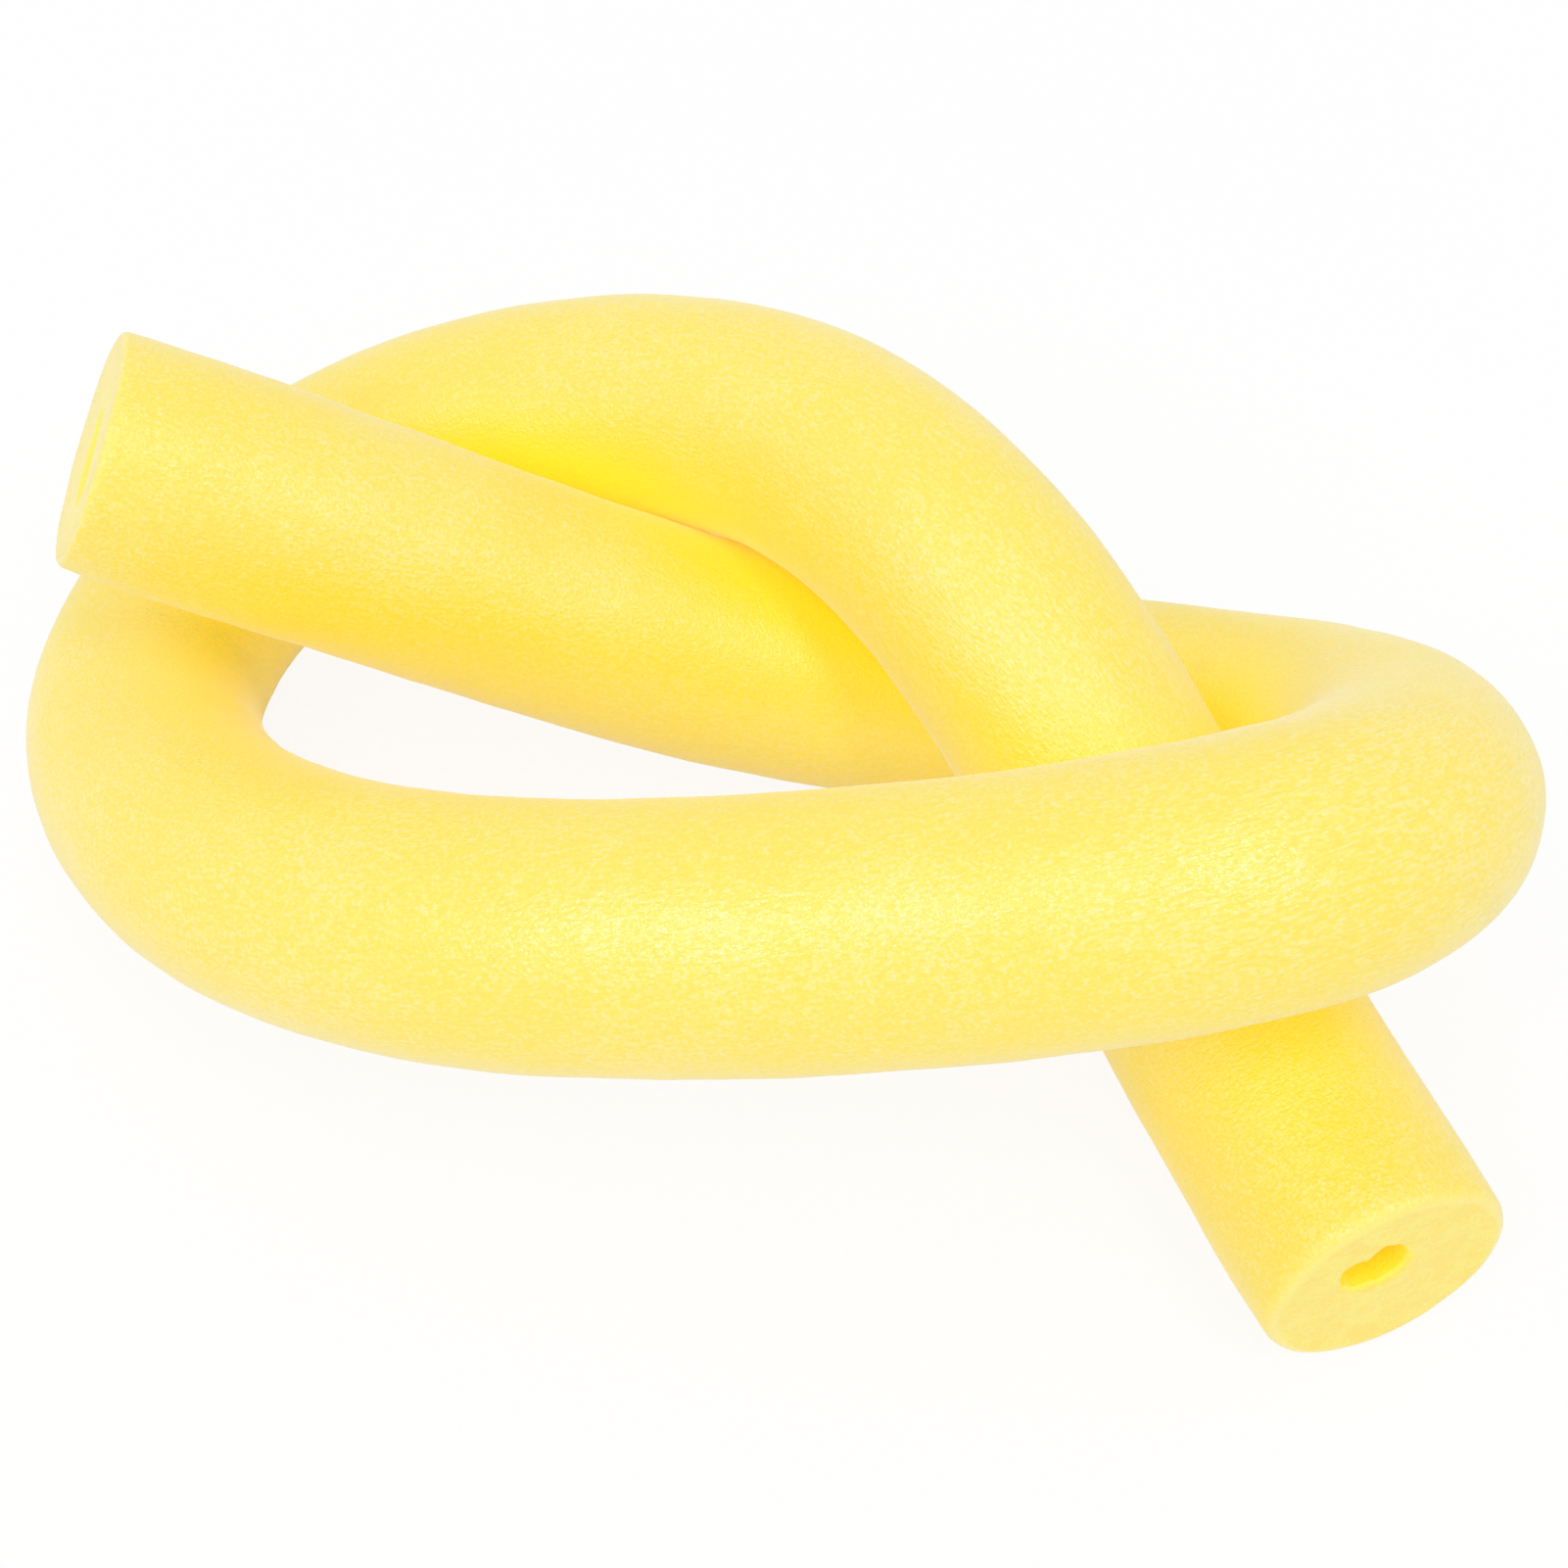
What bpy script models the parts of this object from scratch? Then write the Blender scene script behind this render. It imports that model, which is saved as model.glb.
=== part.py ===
"""A pool noodle tied in a loose overhand knot, as it lies on the floor.

The whole object is one length of soft foam: a round tube with a bore that runs
from one cut end to the other. It is bent by hand and holds its shape by its own
stiffness. X points right, Y points away from the viewer and Z points up, and
the origin is on the floor under the middle of the knot.
"""

import math

import bmesh
import bpy
import numpy as np
from mathutils import Matrix, Vector

# Sizes of the noodle, in metres
noodle_diameter = 0.070
bore_diameter = 0.016
floor_flat_depth = 0.0005

# The skin draws in over a short way before each cut, by this much at the cut
draw_in_length = 0.030
draw_in_depth = 0.0012

# The cut at the raised end is turned about the vertical from square
raised_cut_turn = math.radians(3)

# How finely the foam is divided: corners round it, rings along it and at its ends
bore_corners = 14
noodle_corners = 2 * bore_corners
body_rings = 94
draw_in_rings = 3
route_samples = 1600

# The centreline from the raised end to the end on the floor, in noodle diameters
route_shares = [
    (-2.51, 0.64, 2.04),
    (-1.19, 0.72, 1.32),
    (0.46, 0.77, 0.605),
    (1.48, 0.71, 0.50),
    (2.29, 0.41, 0.66),
    (2.63, -0.21, 1.13),
    (2.45, -0.94, 1.61),
    (1.98, -1.30, 1.80),
    (1.16, -1.41, 1.69),
    (0.06, -1.37, 1.49),
    (-1.05, -1.12, 1.22),
    (-1.91, -0.59, 0.90),
    (-2.44, 0.09, 0.62),
    (-2.64, 0.80, 0.50),
    (-2.34, 1.47, 0.68),
    (-1.59, 1.80, 1.02),
    (-0.64, 1.72, 1.37),
    (0.29, 1.25, 1.59),
    (0.95, 0.49, 1.57),
    (1.49, -0.28, 1.17),
    (1.94, -0.98, 0.66),
    (2.22, -1.57, 0.50),
    (2.44, -2.16, 0.50),
]

foam_colour = (0.95, 0.76, 0.12, 1.0)
foam_roughness = 0.8


def clear_scene():
    for old in list(bpy.data.objects):
        bpy.data.objects.remove(old, do_unlink=True)


def route_points():
    """The route's points in metres, pressed into the floor by the depth of the flats."""
    points = np.array(route_shares) * noodle_diameter
    points[:, 2] -= floor_flat_depth
    return points


def spline_through(points, count):
    """Places at even steps of the parameter along the natural cubic spline through the points."""
    spans = np.linalg.norm(np.diff(points, axis=0), axis=1)
    knots = np.concatenate(([0.0], np.cumsum(spans)))
    slopes = np.diff(points, axis=0) / spans[:, None]
    system = np.eye(len(points))
    targets = np.zeros_like(points)
    for i in range(1, len(points) - 1):
        system[i, i - 1] = spans[i - 1]
        system[i, i] = 2 * (spans[i - 1] + spans[i])
        system[i, i + 1] = spans[i]
        targets[i] = 6 * (slopes[i] - slopes[i - 1])
    bends = np.linalg.solve(system, targets)

    at = np.linspace(0.0, knots[-1], count)
    left = np.clip(np.searchsorted(knots, at) - 1, 0, len(spans) - 1)
    right = left + 1
    span = spans[left][:, None]
    to_right = knots[right][:, None] - at[:, None]
    to_left = at[:, None] - knots[left][:, None]
    curve = (bends[left] * to_right**3 + bends[right] * to_left**3) / (6 * span)
    curve += (points[left] / span - bends[left] * span / 6) * to_right
    curve += (points[right] / span - bends[right] * span / 6) * to_left
    return curve


def lengths_along(curve):
    steps = np.linalg.norm(np.diff(curve, axis=0), axis=1)
    return np.concatenate(([0.0], np.cumsum(steps)))


def ring_stations(length):
    """Distances along the noodle at which its rings sit, closer together where the skin draws in."""
    near = np.linspace(0.0, draw_in_length, draw_in_rings + 1)
    body = np.linspace(draw_in_length, length - draw_in_length, body_rings)
    return np.concatenate((near[:-1], body, (length - near[:-1])[::-1]))


def carried_sides(tangents):
    """A direction square to each tangent, carried along the noodle without twisting."""
    side = tangents[0].orthogonal().normalized()
    sides = [side]
    for tangent in tangents[1:]:
        side = (side - tangent * side.dot(tangent)).normalized()
        sides.append(side)
    return sides


def cut_slant(tangent, turn):
    """How far a cut leans along the tangent for each step square to it."""
    normal = Matrix.Rotation(turn, 3, "Z") @ tangent
    return -(normal - tangent * normal.dot(tangent)) / normal.dot(tangent)


class Centreline:
    """Where each ring of the noodle sits, how it faces and how near it is to a cut."""

    def __init__(self):
        curve = spline_through(route_points(), route_samples)
        along = lengths_along(curve)
        self.length = along[-1]
        self.curve = curve
        self.along = along
        stations = ring_stations(self.length)
        directions = np.gradient(curve, along, axis=0)
        self.centres = [Vector(place) for place in self.read(curve, stations)]
        self.tangents = [Vector(way).normalized() for way in self.read(directions, stations)]
        self.sides = carried_sides(self.tangents)
        raised_slant = cut_slant(self.tangents[0], raised_cut_turn)
        self.nearness = []
        self.slants = []
        for station in stations:
            to_first = max(0.0, 1 - station / draw_in_length)
            to_last = max(0.0, 1 - (self.length - station) / draw_in_length)
            self.nearness.append(max(to_first, to_last))
            self.slants.append(raised_slant * to_first)

    def read(self, values, stations):
        columns = [np.interp(stations, self.along, column) for column in values.T]
        return np.stack(columns, axis=1)

    def least_gap(self):
        """The least clear way between stretches that lie further apart than the tightest half turn."""
        half_turn = math.pi * noodle_diameter / 2
        apart = np.linalg.norm(self.curve[:, None] - self.curve[None], axis=2)
        separate = np.abs(self.along[:, None] - self.along[None]) > half_turn
        return apart[separate].min() - noodle_diameter


def add_tube(bm, line, radii, corners):
    """Skins the rings into an open tube and returns the first and the last of them."""
    rings = []
    for centre, tangent, side, slant, radius in zip(
        line.centres, line.tangents, line.sides, line.slants, radii
    ):
        up = tangent.cross(side)
        ring = []
        for k in range(corners):
            angle = math.tau * k / corners
            out = side * math.cos(angle) + up * math.sin(angle)
            ring.append(bm.verts.new(centre + (out + tangent * slant.dot(out)) * radius))
        rings.append(ring)
    for near, far in zip(rings, rings[1:]):
        for k in range(corners):
            after = (k + 1) % corners
            bm.faces.new((near[k], near[after], far[after], far[k]))
    return rings[0], rings[-1]


def add_cut_face(bm, skin_ring, bore_ring):
    """Spans a cut from the bore out to the skin, which has twice as many corners."""
    for k in range(bore_corners):
        outer = [skin_ring[(2 * k + i) % noodle_corners] for i in range(3)]
        inner = [bore_ring[(k + 1) % bore_corners], bore_ring[k]]
        bm.faces.new(outer + inner)


def press_on_floor(bm):
    """Takes off what lies below the floor, which leaves a flat wherever the noodle touches it."""
    everything = bm.verts[:] + bm.edges[:] + bm.faces[:]
    bmesh.ops.bisect_plane(
        bm, geom=everything, plane_co=Vector(), plane_no=Vector((0, 0, 1)), clear_inner=True
    )
    rims = [edge for edge in bm.edges if edge.is_boundary]
    bmesh.ops.holes_fill(bm, edges=rims, sides=0)


def foam_material():
    material = bpy.data.materials.new("yellow_foam")
    material.use_nodes = True
    surface = material.node_tree.nodes["Principled BSDF"]
    surface.inputs["Base Color"].default_value = foam_colour
    surface.inputs["Roughness"].default_value = foam_roughness
    surface.inputs["Metallic"].default_value = 0.0
    return material


def make_noodle(line):
    noodle_radius = noodle_diameter / 2
    bore_radius = bore_diameter / 2
    skin_radii = [noodle_radius - draw_in_depth * near**2 for near in line.nearness]
    bore_radii = [bore_radius] * len(line.centres)

    bm = bmesh.new()
    skin_ends = add_tube(bm, line, skin_radii, noodle_corners)
    bore_ends = add_tube(bm, line, bore_radii, bore_corners)
    for skin_ring, bore_ring in zip(skin_ends, bore_ends):
        add_cut_face(bm, skin_ring, bore_ring)
    press_on_floor(bm)
    bmesh.ops.recalc_face_normals(bm, faces=bm.faces[:])

    mesh = bpy.data.meshes.new("foam_noodle")
    bm.to_mesh(mesh)
    bm.free()
    mesh.shade_smooth()
    mesh.set_sharp_from_angle(angle=math.radians(40))
    mesh.materials.append(foam_material())
    noodle = bpy.data.objects.new("foam_noodle", mesh)
    bpy.context.scene.collection.objects.link(noodle)
    return noodle


clear_scene()
centreline = Centreline()
make_noodle(centreline)
print(f"noodle length {centreline.length * 1000:.0f} mm")
print(f"least gap between its stretches {centreline.least_gap() * 1000:.2f} mm")
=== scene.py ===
import math

import bpy
import numpy as np
from mathutils import Matrix, Vector


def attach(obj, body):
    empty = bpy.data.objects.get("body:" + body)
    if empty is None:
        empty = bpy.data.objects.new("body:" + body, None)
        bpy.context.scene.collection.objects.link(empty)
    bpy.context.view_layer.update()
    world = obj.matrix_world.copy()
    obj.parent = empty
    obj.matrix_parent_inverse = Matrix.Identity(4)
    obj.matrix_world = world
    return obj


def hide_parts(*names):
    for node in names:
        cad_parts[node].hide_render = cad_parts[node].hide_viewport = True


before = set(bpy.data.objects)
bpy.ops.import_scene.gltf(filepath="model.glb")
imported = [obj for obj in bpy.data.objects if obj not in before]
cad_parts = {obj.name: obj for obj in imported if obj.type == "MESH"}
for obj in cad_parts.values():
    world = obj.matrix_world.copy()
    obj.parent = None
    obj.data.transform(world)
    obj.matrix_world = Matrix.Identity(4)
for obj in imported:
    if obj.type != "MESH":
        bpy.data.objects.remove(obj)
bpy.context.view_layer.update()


# The camera stands in front of the knot and looks down on it at about 49 degrees, level
# from side to side. The lens is a little longer than standard, on a 36 mm wide sensor.
camera_place = (0.0175, -0.4116, 0.5203)
camera_pitch = math.radians(48.7)
camera_sensor = 36.0
camera_nearest = 0.01
camera_focal_pixels = 2150
photo_pixels = 1601

camera_data = bpy.data.cameras.new("camera")
camera_data.sensor_width = camera_sensor
camera_data.lens = camera_sensor * camera_focal_pixels / photo_pixels
camera_data.clip_start = camera_nearest
camera = bpy.data.objects.new("camera", camera_data)
camera.location = camera_place
camera.rotation_euler = (math.pi / 2 - camera_pitch, 0, 0)
bpy.context.scene.collection.objects.link(camera)
bpy.context.scene.camera = camera


# The path of the foam through its loose overhand knot, from the raised end at the upper
# left to the end on the floor, where it runs on a little past its last point. The points
# are in noodle diameters, above a floor that presses the foam in by half a millimetre.
noodle_diameter = 0.070
noodle_radius = noodle_diameter / 2
floor_flat_depth = 0.0005
floor_end_reach = 0.0016
route_samples = 1600
route_step = 0.002
route_shares = [
    (-2.51, 0.64, 2.04),
    (-1.19, 0.72, 1.32),
    (0.46, 0.77, 0.605),
    (1.48, 0.71, 0.50),
    (2.29, 0.41, 0.66),
    (2.63, -0.21, 1.13),
    (2.45, -0.94, 1.61),
    (1.98, -1.30, 1.80),
    (1.16, -1.41, 1.69),
    (0.06, -1.37, 1.49),
    (-1.05, -1.12, 1.22),
    (-1.91, -0.59, 0.90),
    (-2.44, 0.09, 0.62),
    (-2.64, 0.80, 0.50),
    (-2.34, 1.47, 0.68),
    (-1.59, 1.80, 1.02),
    (-0.64, 1.72, 1.37),
    (0.29, 1.25, 1.59),
    (0.95, 0.49, 1.57),
    (1.49, -0.28, 1.17),
    (1.94, -0.98, 0.66),
    (2.22, -1.57, 0.50),
    (2.44, -2.16, 0.50),
]


def spline_through(points, count):
    """Places at even steps of the parameter along the natural cubic spline through the points."""
    spans = np.linalg.norm(np.diff(points, axis=0), axis=1)
    knots = np.concatenate(([0.0], np.cumsum(spans)))
    slopes = np.diff(points, axis=0) / spans[:, None]
    system = np.eye(len(points))
    targets = np.zeros_like(points)
    for i in range(1, len(points) - 1):
        system[i, i - 1] = spans[i - 1]
        system[i, i] = 2 * (spans[i - 1] + spans[i])
        system[i, i + 1] = spans[i]
        targets[i] = 6 * (slopes[i] - slopes[i - 1])
    bends = np.linalg.solve(system, targets)

    at = np.linspace(0.0, knots[-1], count)
    left = np.clip(np.searchsorted(knots, at) - 1, 0, len(spans) - 1)
    right = left + 1
    span = spans[left][:, None]
    to_right = knots[right][:, None] - at[:, None]
    to_left = at[:, None] - knots[left][:, None]
    curve = (bends[left] * to_right**3 + bends[right] * to_left**3) / (6 * span)
    curve += (points[left] / span - bends[left] * span / 6) * to_right
    curve += (points[right] / span - bends[right] * span / 6) * to_left
    return curve


def lengths_along(line):
    steps = np.linalg.norm(np.diff(line, axis=0), axis=1)
    return np.concatenate(([0.0], np.cumsum(steps)))


def resampled(line, step):
    """The line again, at even steps along its length."""
    along = lengths_along(line)
    stations = np.linspace(0.0, along[-1], round(along[-1] / step) + 1)
    return np.stack([np.interp(stations, along, axis) for axis in line.T], axis=1)


def unit(vectors):
    return vectors / np.linalg.norm(vectors, axis=-1, keepdims=True)


def level_sides(tangents):
    """A direction square to each tangent, level at the floor end and carried back untwisted."""
    side = unit(np.cross((0, 0, 1), tangents[-1]))
    sides = [side]
    for tangent in tangents[-2::-1]:
        side = unit(side - tangent * np.dot(side, tangent))
        sides.append(side)
    return np.array(sides[::-1])


route_points = np.array(route_shares) * noodle_diameter
route_points[:, 2] -= floor_flat_depth
route = spline_through(route_points, route_samples)
last_step = unit(route[-1] - route[-2])
route = resampled(np.vstack((route, route[-1] + last_step * floor_end_reach)), route_step)
route_along = lengths_along(route)
noodle_length = route_along[-1]
route_tangents = unit(np.gradient(route, route_along, axis=0))
route_sides = level_sides(route_tangents)
route_bends = np.gradient(route_tangents, route_along, axis=0)


def line_object(name, points, attributes):
    """The points joined into a line, with a vector attribute for each name."""
    mesh = bpy.data.meshes.new(name)
    edges = [(i, i + 1) for i in range(len(points) - 1)]
    mesh.from_pydata(points.tolist(), edges, [])
    for attribute_name, vectors in attributes.items():
        attribute = mesh.attributes.new(attribute_name, "FLOAT_VECTOR", "POINT")
        attribute.data.foreach_set("vector", vectors.astype(np.float32).ravel())
    return bpy.data.objects.new(name, mesh)


route_line = line_object("route_line", route, {"side": route_sides, "bend": route_bends})


# The noodle before it is bent: an extruded tube of soft foam, cut off at both ends with a
# knife, so each cut draws in its skin a little and keeps a soft round shoulder. The bore is
# squeezed into a slit at the raised cut, and into a bean with a tag of foam at the other.
bore_diameter = 0.016
draw_in_length = 0.030
draw_in_depth = 0.0012
raised_cut = {
    "shoulder_width": 0.0020,
    "shoulder_depth": 0.0016,
    "lip": 0.0020,
    # Painted shade and glow: the raised cut's face takes on the bore's deep golden colour and glow
    # towards the slit.
    "face_painted_shade_glow": 0.50,
    "bore_painted_shade_glow": 0.55,
}
floor_cut = {
    "shoulder_width": 0.0034,
    "shoulder_depth": 0.0027,
    "lip": 0.0012,
    "face_painted_shade_glow": 0.0,
    "bore_painted_shade_glow": 1.0,
}
raised_cut_turn = math.radians(3)
around = 96
skin_step = 0.0026
bore_step = 0.012
shoulder_rows = 8
face_rows = 13
lip_rows = 4
squeezed_reach = 0.045
slit_half_length = 0.0125
slit_half_width = 0.0052
slit_turn = math.radians(108)
slit_shift = (-0.0070, -0.0068)
bean_half_width = 0.0094
bean_half_height = 0.0088
bean_shift = (-0.0056, 0.0086)
tag_turn = math.radians(118)
tag_depth = 0.0034
tag_spread = math.radians(20)
heel_turn = math.radians(-95)
heel_depth = 0.0007
heel_spread = math.radians(30)
ragged_depth = 0.0003
ragged_waves = ((9, 1.0), (14, 0.0))

turns = math.tau * np.arange(around) / around
circle = np.stack((np.cos(turns), np.sin(turns)), axis=1)


def skin_outline(station):
    """The skin's section: round, and drawn in a little towards a cut."""
    to_cut = min(station, noodle_length - station)
    nearness = max(0.0, 1 - to_cut / draw_in_length) ** 2
    return circle * (noodle_radius - draw_in_depth * nearness)


def slit_radii():
    """The bore at the raised cut: a flat oval."""
    turned = turns - slit_turn
    return 1 / np.hypot(np.cos(turned) / slit_half_length, np.sin(turned) / slit_half_width)


def bulge(turn, depth, spread):
    """Foam that bulges into the bore round a turn, by its depth at each corner of the circle."""
    away = (turns - turn + math.pi) % math.tau - math.pi
    return depth * np.exp(-((away / spread) ** 2))


def bean_radii():
    """The bore at the cut on the floor: a ragged bean, with a tag that hangs into it from above."""
    radii = 1 / np.hypot(circle[:, 0] / bean_half_width, circle[:, 1] / bean_half_height)
    radii -= bulge(tag_turn, tag_depth, tag_spread)
    radii -= bulge(heel_turn, heel_depth, heel_spread)
    waves = [np.sin(count * turns + phase) for count, phase in ragged_waves]
    return radii + ragged_depth * np.mean(waves, axis=0)


def bore_outline(station):
    """The bore's section: round inside the noodle and squeezed out of shape at the cuts."""
    to_cut = min(station, noodle_length - station)
    squeezed = max(0.0, 1 - to_cut / squeezed_reach) ** 2
    raised = station < noodle_length / 2
    radii = slit_radii() if raised else bean_radii()
    shift = np.array(slit_shift if raised else bean_shift)
    radii = squeezed * radii + (1 - squeezed) * bore_diameter / 2
    return circle * radii[:, None] + shift * squeezed


def cut_rows(station, inward, shoulder_width, shoulder_depth, lip, face_painted_shade_glow, bore_painted_shade_glow):
    """Rows over the round shoulder, across the cut and over the lip into the bore.

    Each is an outline, its distance along the noodle, how much its foam looks cut, and how
    much of the bore's painted shade and painted glow it takes.
    """
    rim = skin_outline(station)
    bore = bore_outline(station)
    rows = []
    for i in range(1, shoulder_rows + 1):
        turn = math.pi / 2 * i / shoulder_rows
        pulled = rim * (1 - shoulder_width * (1 - math.cos(turn)) / noodle_radius)
        depth = shoulder_depth * (1 - math.sin(turn))
        rows.append((pulled, station + inward * depth, (i / shoulder_rows) ** 2, 0.0))
    face_rim = rows[-1][0]
    face_lip = bore + unit(bore - bore.mean(axis=0)) * lip
    for i in range(1, face_rows + 1):
        share = i / face_rows
        across = face_rim * (1 - share) + face_lip * share
        rows.append((across, station, 1.0, face_painted_shade_glow * share))
    for i in range(1, lip_rows + 1):
        share = i / lip_rows
        turn = math.pi / 2 * share
        pulled = face_lip * math.cos(turn) ** 2 + bore * math.sin(turn) ** 2
        depth = lip * (1 - math.cos(turn))
        # The painted shade and glow grow over the lip into the bore.
        glow = face_painted_shade_glow + (bore_painted_shade_glow - face_painted_shade_glow) * share
        rows.append((pulled, station + inward * depth, 1.0, glow))
    return rows


def cut_lean(index, turn):
    """How far a cut leans along the noodle for each step sideways and upwards."""
    tangent = Vector(route_tangents[index])
    side = Vector(route_sides[index])
    normal = Matrix.Rotation(turn, 3, "Z") @ tangent
    ahead = normal.dot(tangent)
    return np.array((-normal.dot(side) / ahead, -normal.dot(tangent.cross(side)) / ahead))


skin_stations = np.linspace(
    raised_cut["shoulder_depth"],
    noodle_length - floor_cut["shoulder_depth"],
    round(noodle_length / skin_step),
)
bore_stations = np.linspace(
    noodle_length - floor_cut["lip"], raised_cut["lip"], round(noodle_length / bore_step)
)
straight_rows = [(skin_outline(station), station, 0.0, 0.0) for station in skin_stations]
straight_rows += cut_rows(noodle_length, -1, **floor_cut)
# The bore takes the full painted shade and glow.
straight_rows += [(bore_outline(station), station, 1.0, 1.0) for station in bore_stations[1:-1]]
straight_rows += cut_rows(0.0, 1, **raised_cut)[::-1]

raised_lean = cut_lean(0, raised_cut_turn)
straight_places = []
# The depth mark is the share of the bore's painted shade and glow that a point takes.
straight_marks = {"lean": [], "cut": [], "depth": []}
for outline, station, cut, depth in straight_rows:
    straight_places.append(np.column_stack((outline, np.full(around, station))))
    lean = outline @ raised_lean * max(0.0, 1 - station / draw_in_length)
    straight_marks["lean"].append(lean)
    straight_marks["cut"].append(np.full(around, cut))
    straight_marks["depth"].append(np.full(around, depth))


def ring_faces(rows, corners):
    """Four-cornered faces that join each ring to the next, and the last ring to the first."""
    faces = []
    for row in range(rows):
        near = row * corners
        far = (row + 1) % rows * corners
        for k in range(corners):
            after = (k + 1) % corners
            faces.append((near + k, near + after, far + after, far + k))
    return faces


straight_mesh = bpy.data.meshes.new("foam_noodle_skin")
straight_mesh.from_pydata(
    np.concatenate(straight_places).tolist(), [], ring_faces(len(straight_rows), around)
)
for attribute_name, values in straight_marks.items():
    attribute = straight_mesh.attributes.new(attribute_name, "FLOAT", "POINT")
    attribute.data.foreach_set("value", np.concatenate(values).astype(np.float32))
straight_noodle = bpy.data.objects.new("straight_noodle", straight_mesh)
bpy.context.scene.collection.objects.link(straight_noodle)


# The bending of the straight noodle along its route. It also keeps each point's place in
# the straight foam and how much the foam is squeezed there, for the material, and gives
# the skin the slight lumps of soft foam and presses it flat where it lies on the floor.
foam_sizes = {
    "Lump Size": 0.028,
    "Lump Depth": 0.0006,
    "Dimple Size": 0.0055,
    "Dimple Depth": 0.00012,
    "Swell": 0.06,
}
lump_seed = 3.0
dimple_seed = 8.0
lump_detail = 1.0
lump_roughness = 0.4


class Wire:
    """One socket of a node tree. Sums and products of wires add the Math nodes for them."""

    def __init__(self, graph, socket):
        self.graph = graph
        self.socket = socket

    def __add__(self, other):
        return self.graph.math("ADD", self, other)

    def __radd__(self, other):
        return self.graph.math("ADD", other, self)

    def __sub__(self, other):
        return self.graph.math("SUBTRACT", self, other)

    def __rsub__(self, other):
        return self.graph.math("SUBTRACT", other, self)

    def __mul__(self, other):
        return self.graph.math("MULTIPLY", self, other)

    def __rmul__(self, other):
        return self.graph.math("MULTIPLY", other, self)

    def __truediv__(self, other):
        return self.graph.math("DIVIDE", self, other)

    def __rtruediv__(self, other):
        return self.graph.math("DIVIDE", other, self)

    def beside(self, output):
        """Another output of the node that this wire comes from."""
        return Wire(self.graph, self.socket.node.outputs[output])


class Graph:
    """A node tree that is written as expressions."""

    def __init__(self, tree):
        self.tree = tree

    def node(self, kind, settings=None, inputs=None, output=0):
        """Adds a node: its settings first, then the values or wires of its sockets."""
        made = self.tree.nodes.new(kind)
        for name, value in (settings or {}).items():
            setattr(made, name, value)
        for name, value in (inputs or {}).items():
            if isinstance(value, Wire):
                self.tree.links.new(value.socket, made.inputs[name])
            else:
                made.inputs[name].default_value = value
        return Wire(self, made.outputs[output]) if made.outputs else None

    def math(self, operation, *values):
        return self.node("ShaderNodeMath", {"operation": operation}, dict(enumerate(values)))

    def vector(self, operation, *values, output=0):
        return self.node(
            "ShaderNodeVectorMath", {"operation": operation}, dict(enumerate(values)), output
        )

    def scaled(self, vector, scale):
        return self.node(
            "ShaderNodeVectorMath", {"operation": "SCALE"}, {"Vector": vector, "Scale": scale}
        )

    def parts(self, vector):
        """The X, Y and Z of a vector."""
        x = self.node("ShaderNodeSeparateXYZ", None, {"Vector": vector})
        return x, x.beside("Y"), x.beside("Z")


bend_tree = bpy.data.node_groups.new("bend_foam_along_route", "GeometryNodeTree")
bend_tree.interface.new_socket("Geometry", in_out="OUTPUT", socket_type="NodeSocketGeometry")
bend_kinds = {
    "Geometry": "NodeSocketGeometry",
    "Route": "NodeSocketObject",
    "Foam": "NodeSocketMaterial",
    **dict.fromkeys(foam_sizes, "NodeSocketFloat"),
}
bend_identifiers = {}
for socket_name, kind in bend_kinds.items():
    socket = bend_tree.interface.new_socket(socket_name, in_out="INPUT", socket_type=kind)
    bend_identifiers[socket_name] = socket.identifier

bend = Graph(bend_tree)
bend_in = bend.node("NodeGroupInput")


def named_value(name, kind):
    return bend.node("GeometryNodeInputNamedAttribute", {"data_type": kind}, {"Name": name})


def stored(geometry, name, kind, value):
    """The geometry with a value kept at each of its points."""
    return bend.node(
        "GeometryNodeStoreNamedAttribute",
        {"data_type": kind, "domain": "POINT"},
        {"Geometry": geometry, "Name": name, "Value": value},
    )


def lumps(size, depth, seed):
    """Smooth noise of the given size, as a height on both sides of zero."""
    noise = bend.node(
        "ShaderNodeTexNoise",
        {"noise_dimensions": "4D"},
        {
            "Vector": named_value("straight", "FLOAT_VECTOR"),
            "W": seed,
            "Scale": 1 / size,
            "Detail": lump_detail,
            "Roughness": lump_roughness,
        },
    )
    return (noise - 0.5) * 2 * depth


straight_place = bend.node("GeometryNodeInputPosition")
sideways, upwards, along = bend.parts(straight_place)
kept = stored(bend_in.beside("Geometry"), "straight", "FLOAT_VECTOR", straight_place)

route_shape = bend.node(
    "GeometryNodeObjectInfo",
    {"transform_space": "ORIGINAL"},
    {"Object": bend_in.beside("Route")},
    "Geometry",
)
route_curve = bend.node("GeometryNodeMeshToCurve", None, {"Mesh": route_shape})


def sampled(name, output="Value"):
    """What the route holds at each point's distance along the noodle."""
    return bend.node(
        "GeometryNodeSampleCurve",
        {"mode": "LENGTH", "data_type": "FLOAT_VECTOR"},
        {
            "Curves": route_curve,
            "Value": named_value(name, "FLOAT_VECTOR"),
            "Length": along,
        },
        output,
    )


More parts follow.
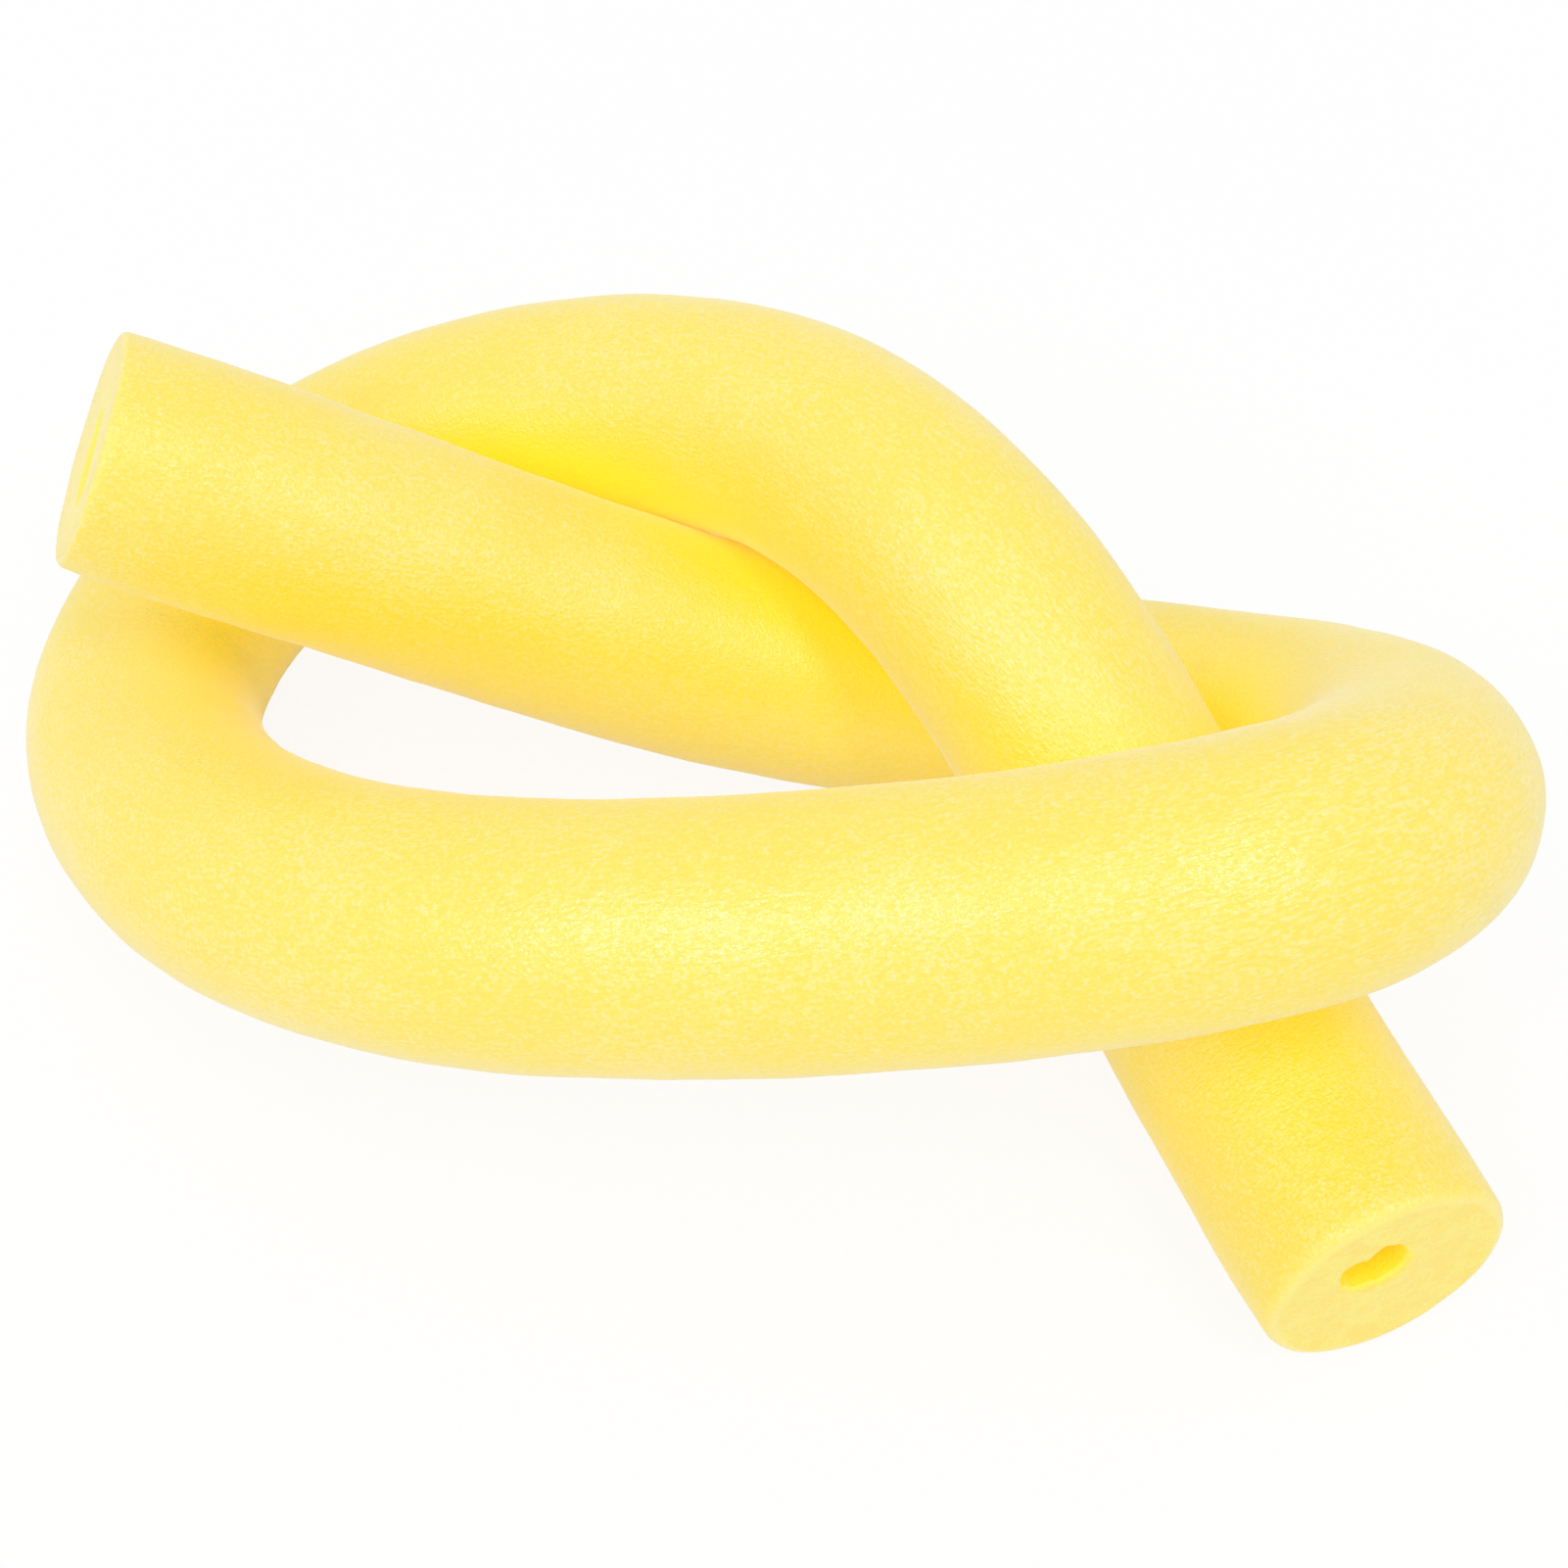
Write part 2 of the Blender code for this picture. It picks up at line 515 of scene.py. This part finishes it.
centre = sampled("side", "Position")
tangent = sampled("side", "Tangent")
side = sampled("side")
bent_by = sampled("bend")
up = bend.vector("CROSS_PRODUCT", tangent, side)
straight_offset = bend.vector("ADD", bend.scaled(side, sideways), bend.scaled(up, upwards))
squeezed = bend.vector("DOT_PRODUCT", bent_by, straight_offset, output="Value")
swelling = bend.math("MAXIMUM", squeezed, 0.0) * bend_in.beside("Swell") + 1.0
offset = bend.scaled(straight_offset, swelling)
leaned = bend.scaled(tangent, named_value("lean", "FLOAT"))
bent_place = bend.vector("ADD", bend.vector("ADD", centre, offset), leaned)
with_squeeze = stored(kept, "squeeze", "FLOAT", squeezed)
bent = bend.node(
    "GeometryNodeSetPosition", None, {"Geometry": with_squeeze, "Position": bent_place}
)

skin_lumps = lumps(bend_in.beside("Lump Size"), bend_in.beside("Lump Depth"), lump_seed)
skin_dimples = lumps(bend_in.beside("Dimple Size"), bend_in.beside("Dimple Depth"), dimple_seed)
rise = bend.scaled(bend.node("GeometryNodeInputNormal"), skin_lumps + skin_dimples)
lumpy = bend.node("GeometryNodeSetPosition", None, {"Geometry": bent, "Offset": rise})

lumpy_x, lumpy_y, lumpy_z = bend.parts(bend.node("GeometryNodeInputPosition"))
above_floor = bend.math("MAXIMUM", lumpy_z, 0.0)
on_floor = bend.node("ShaderNodeCombineXYZ", None, {"X": lumpy_x, "Y": lumpy_y, "Z": above_floor})
pressed = bend.node("GeometryNodeSetPosition", None, {"Geometry": lumpy, "Position": on_floor})
realised = bend.node("GeometryNodeRealizeInstances", None, {"Geometry": pressed})
finished = bend.node(
    "GeometryNodeSetMaterial", None, {"Geometry": realised, "Material": bend_in.beside("Foam")}
)
bend.node("NodeGroupOutput", None, {"Geometry": finished})


# The foam itself: closed-cell polyethylene, dyed lemon yellow all through. Its skin is a
# mesh of tiny cells, drawn out where it is stretched and pinched where it is squeezed, and
# waxy along the front. Painted shade and light: the creases and the bore are coloured a deeper
# golden and glow faintly, and the shoulder of each cut has a painted highlight.
skin_colour = (0.990, 0.785, 0.046, 1.0)
skin_deep_colour = (0.990, 0.752, 0.018, 1.0)
skin_pale_colour = (0.990, 0.820, 0.215, 1.0)
cut_colour = (0.990, 0.812, 0.040, 1.0)
cut_pit_colour = (0.990, 0.745, 0.001, 1.0)
# Painted highlight: a paler colour along the round shoulder of each cut.
painted_rim_highlight_colour = (0.990, 0.850, 0.240, 1.0)
# Painted shade: the deep golden colour inside the bore.
painted_bore_shade_colour = (0.995, 0.820, 0.003, 1.0)
# Painted shade and light: a deeper golden colour for the creases, and a faint painted glow there
# and in the bore.
painted_crease_colour = (1.0, 0.838, 0.008, 1.0)
painted_glow_colour = (1.0, 0.78, 0.05, 1.0)
no_light = (0.0, 0.0, 0.0, 1.0)
painted_glow_strength = 0.10
foam_index = 2.15
dull_roughness = 0.52
glossy_roughness = 0.12
sheen_weight = 0.56
sheen_roughness = 0.40

cell_size = 0.0012
cell_stretch = 1.5
cell_softness = 0.4
cell_middle = 0.45
streak_width = 0.00072
streak_stretch = 5.0
pinch_size = 0.0028
pinch_stretch = 0.30
mottle_size = 0.0010
cloud_size = 0.045
facet_size = 0.0006
facet_stretch = 2.0
pit_size = 0.0012
blotch_size = 0.0060
blotch_detail = 3.0
grain_twist = 4.0

# How much each of these counts in the grain, in the skin's tone, in the cut's tone, in the
# painted highlight along the rim of a cut and in the relief
cell_grain = 0.5
streak_grain = 0.8
drawn_grain = 0.5
pinch_grain = 1.8
mottle_tone = 0.9
cloud_tone = 0.3
grain_tone = 0.5
pit_tone = 0.4
blotch_tone = 0.6
painted_rim_highlight_strength = 2.0
mottle_relief = 1.4
relief_depth = 0.00019

# Where each change of the surface begins and ends
stretched_bends = (-0.04, -0.35)
squeezed_bends = (0.10, 0.50)
deep_tones = (0.34, 0.50)
pale_tones = (0.50, 0.66)
cut_tones = (0.46, 0.54)
painted_crease_views = (0.20, 0.85)
facet_tones = (0.45, 0.58)
edge_facings = (0.12, 0.50)

waxy_middle = 0.65
waxy_reach = 0.20
waxy_fade = 0.18
worn_share = 0.50
nestled_stride = 3
half_turn = math.pi * noodle_radius

foam = bpy.data.materials.new("yellow_foam")
foam.use_nodes = True
foam.node_tree.nodes.clear()
paint = Graph(foam.node_tree)


def foam_attribute(name, output):
    return paint.node("ShaderNodeAttribute", {"attribute_name": name}, None, output)


def foam_noise(place, size, detail=2.0, roughness=0.55):
    return paint.node(
        "ShaderNodeTexNoise",
        None,
        {"Vector": place, "Scale": 1 / size, "Detail": detail, "Roughness": roughness},
    )


def stretched(place, factor):
    """The same place with its distances along the noodle divided by the factor."""
    return paint.vector("MULTIPLY", place, (1.0, 1.0, 1 / factor))


def between(value, low, high):
    """Goes from 0 to 1 as the value goes from low to high."""
    return value.graph.node(
        "ShaderNodeMapRange", None, {"Value": value, "From Min": low, "From Max": high}
    )


def blended(share, first, second):
    return paint.node(
        "ShaderNodeMix", {"data_type": "RGBA"}, {"Factor": share, 6: first, 7: second}, 2
    )


foam_place = foam_attribute("straight", "Vector")
foam_squeeze = foam_attribute("squeeze", "Fac")
foam_cut = foam_attribute("cut", "Fac")
painted_bore_share = foam_attribute("depth", "Fac")
foam_nestled = foam_attribute("nestled", "Fac")
foam_along = paint.parts(foam_place)[2]
foam_twisted = paint.node(
    "ShaderNodeVectorRotate",
    {"rotation_type": "Z_AXIS"},
    {"Vector": foam_place, "Angle": foam_along * grain_twist},
)

cells = paint.node(
    "ShaderNodeTexVoronoi",
    {"feature": "SMOOTH_F1"},
    {
        "Vector": stretched(foam_place, cell_stretch),
        "Scale": 1 / cell_size,
        "Smoothness": cell_softness,
    },
)
streaks = foam_noise(stretched(foam_twisted, streak_stretch), streak_width)
pinches = foam_noise(stretched(foam_place, pinch_stretch), pinch_size)
mottle = foam_noise(foam_place, mottle_size)
clouds = foam_noise(foam_place, cloud_size)
facets = foam_noise(stretched(foam_twisted, facet_stretch), facet_size)
pits = foam_noise(foam_place, pit_size)
blotches = foam_noise(foam_place, blotch_size, blotch_detail)

stretch_share = between(foam_squeeze, *stretched_bends)
pinch_share = between(foam_squeeze, *squeezed_bends)
streaked = (1.0 - pinch_share) * (streak_grain + stretch_share * drawn_grain)
grain = (cell_middle - cells) * cell_grain + (streaks - 0.5) * streaked
grain = grain + (pinches - 0.5) * pinch_share * pinch_grain

tone = (mottle - 0.5) * mottle_tone + (clouds - 0.5) * cloud_tone + grain * grain_tone + 0.5
skin_deeper = blended(between(tone, *deep_tones), skin_deep_colour, skin_colour)
skin_shade = blended(between(tone, *pale_tones), skin_deeper, skin_pale_colour)
cut_tone = pits * pit_tone + blotches * blotch_tone
cut_shade = blended(between(cut_tone, *cut_tones), cut_pit_colour, cut_colour)
# Painted highlight: the shoulder of each cut is coloured paler, most at the middle of its curve.
painted_rim_highlight_share = foam_cut * (1.0 - foam_cut) * painted_rim_highlight_strength
outer_shade = blended(painted_rim_highlight_share, blended(foam_cut, skin_shade, cut_shade), painted_rim_highlight_colour)
# Painted shade: the bore and the faces leading into it are coloured a deep golden.
lit_shade = blended(painted_bore_share, outer_shade, painted_bore_shade_colour)
# Painted shade and light: where other stretches of foam fill much of a point's view, its colour
# turns deeper golden, and there and in the bore it glows faintly.
painted_crease_share = between(foam_nestled, *painted_crease_views)
foam_shade = blended(painted_crease_share, lit_shade, painted_crease_colour)
painted_glow_share = paint.math("MAXIMUM", painted_crease_share, painted_bore_share)
painted_foam_glow = blended(painted_glow_share, no_light, painted_glow_colour)

relief_height = grain + (mottle - 0.5) * mottle_relief + (pits - 0.5) * foam_cut
relief = paint.node(
    "ShaderNodeBump",
    None,
    {"Strength": 1.0, "Distance": relief_depth, "Height": relief_height},
    "Normal",
)
from_waxy = paint.math("ABSOLUTE", foam_along - waxy_middle)
worn = between(from_waxy, waxy_reach, waxy_reach + waxy_fade)
waxy = 1.0 - worn * (1.0 - worn_share)
edge_facing = paint.node("ShaderNodeLayerWeight", output="Facing")
turned_away = between(edge_facing, *edge_facings)
glossy = between(facets, *facet_tones) * (1.0 - foam_cut) * (1.0 - turned_away) * waxy
surface = paint.node(
    "ShaderNodeBsdfPrincipled",
    None,
    {
        "Base Color": foam_shade,
        "Roughness": dull_roughness - glossy * (dull_roughness - glossy_roughness),
        "Metallic": 0.0,
        "IOR": foam_index,
        "Sheen Weight": sheen_weight,
        "Sheen Roughness": sheen_roughness,
        "Emission Color": painted_foam_glow,
        "Emission Strength": painted_glow_strength,
        "Normal": relief,
    },
)
paint.node("ShaderNodeOutputMaterial", None, {"Surface": surface})


def mark_nestled(mesh):
    """Keeps the share of each point's view that other stretches of the foam fill."""
    places = np.empty((len(mesh.vertices), 3), np.float32)
    normals = np.empty_like(places)
    straight = np.empty_like(places)
    mesh.vertices.foreach_get("co", places.ravel())
    mesh.vertex_normals.foreach_get("vector", normals.ravel())
    mesh.attributes["straight"].data.foreach_get("vector", straight.ravel())
    filled = np.zeros(len(places))
    for i in range(0, len(route), nestled_stride):
        other = np.abs(straight[:, 2] - route_along[i]) > half_turn
        towards = route[i] - places[other]
        distance = np.linalg.norm(towards, axis=1)
        towards /= distance[:, None]
        facing = np.maximum((towards * normals[other]).sum(axis=1), 0)
        across = np.linalg.norm(np.cross(towards, route_tangents[i]), axis=1)
        width = noodle_diameter * route_step * nestled_stride
        filled[other] += facing * across * width / (math.pi * distance**2)
    nestled = mesh.attributes.new("nestled", "FLOAT", "POINT")
    nestled.data.foreach_set("value", np.minimum(filled, 1).astype(np.float32))


bender = straight_noodle.modifiers.new("bend_foam_along_route", "NODES")
bender.node_group = bend_tree
for socket_name, value in {"Route": route_line, "Foam": foam, **foam_sizes}.items():
    bender[bend_identifiers[socket_name]] = value

evaluated = straight_noodle.evaluated_get(bpy.context.evaluated_depsgraph_get())
noodle_mesh = bpy.data.meshes.new_from_object(evaluated)
noodle_mesh.name = "foam_noodle_skin"
noodle_mesh.shade_smooth()
# The share of each point's view that other foam fills sets the painted crease shade and glow.
mark_nestled(noodle_mesh)
noodle = bpy.data.objects.new("foam_noodle_skin", noodle_mesh)
bpy.context.scene.collection.objects.link(noodle)
bpy.data.objects.remove(straight_noodle, do_unlink=True)
bpy.data.objects.remove(route_line, do_unlink=True)

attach(noodle, "root")
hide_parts("foam_noodle")


# A plain white sweep of studio paper carries the knot. It keeps the soft shadow that the
# foam drops on it near the knot, and fades to pure white further out.
white = (1.0, 1.0, 1.0, 1.0)
floor_half_width = 3.0
paper_colour = (0.94, 0.94, 0.94, 1.0)
paper_roughness = 0.9
paper_lift = 0.88
paper_near = 0.45
paper_far = 1.20

floor_mesh = bpy.data.meshes.new("studio_floor")
floor_mesh.from_pydata(
    [
        (-floor_half_width, -floor_half_width, 0),
        (floor_half_width, -floor_half_width, 0),
        (floor_half_width, floor_half_width, 0),
        (-floor_half_width, floor_half_width, 0),
    ],
    [],
    [(0, 1, 2, 3)],
)
floor = bpy.data.objects.new("studio_floor", floor_mesh)
bpy.context.scene.collection.objects.link(floor)

paper = bpy.data.materials.new("studio_paper")
paper.use_nodes = True
paper.node_tree.nodes.clear()
sheet = Graph(paper.node_tree)


def seen_by(graph):
    """1 for the rays that a viewer sees, straight or in a reflection, and 0 for the rest."""
    straight_ray = graph.node("ShaderNodeLightPath", output="Is Camera Ray")
    glossy_ray = straight_ray.beside("Is Glossy Ray")
    through_ray = straight_ray.beside("Is Transmission Ray")
    return graph.math("MAXIMUM", graph.math("MAXIMUM", straight_ray, glossy_ray), through_ray)


paper_surface = sheet.node(
    "ShaderNodeBsdfPrincipled", None, {"Base Color": paper_colour, "Roughness": paper_roughness}
)
paper_white = sheet.node("ShaderNodeEmission", None, {"Color": white, "Strength": 1.0})
paper_place = sheet.node("ShaderNodeTexCoord", output="Object")
paper_distance = sheet.vector("LENGTH", paper_place, output="Value")
whitened = paper_lift + between(paper_distance, paper_near, paper_far) * (1.0 - paper_lift)
paper_mixed = sheet.node(
    "ShaderNodeMixShader", None, {0: seen_by(sheet) * whitened, 1: paper_surface, 2: paper_white}
)
sheet.node("ShaderNodeOutputMaterial", None, {"Surface": paper_mixed})
floor_mesh.materials.append(paper)


# Soft studio light: a white room all round gives most of it, and two small softboxes, high
# up at the left and the right behind the camera, put the glints on the foam. Light bounces
# often here, because foam this pale passes on nearly all of it.
room_level = 0.87
softbox_aim = (0.0, 0.0, 0.08)
light_bounces = 16

room = bpy.data.worlds.new("white_room")
room.use_nodes = True
room.node_tree.nodes.clear()
bpy.context.scene.world = room
sky = Graph(room.node_tree)
room_strength = room_level + seen_by(sky) * (1.0 - room_level)
room_light = sky.node("ShaderNodeBackground", None, {"Color": white, "Strength": room_strength})
sky.node("ShaderNodeOutputWorld", None, {"Surface": room_light})


def softbox(name, place, width, height, power):
    lamp = bpy.data.lights.new(name, "AREA")
    lamp.shape = "RECTANGLE"
    lamp.size = width
    lamp.size_y = height
    lamp.energy = power
    box = bpy.data.objects.new(name, lamp)
    box.location = place
    box.rotation_euler = (Vector(softbox_aim) - Vector(place)).to_track_quat("-Z", "Y").to_euler()
    bpy.context.scene.collection.objects.link(box)


softbox("left_softbox", (-1.19, -1.26, 2.05), width=0.40, height=1.50, power=8.7)
softbox("right_softbox", (0.70, -1.10, 2.37), width=0.52, height=1.10, power=8.0)
bpy.context.scene.cycles.max_bounces = light_bounces
bpy.context.scene.cycles.diffuse_bounces = light_bounces

bpy.context.scene.view_settings.view_transform = "Standard"
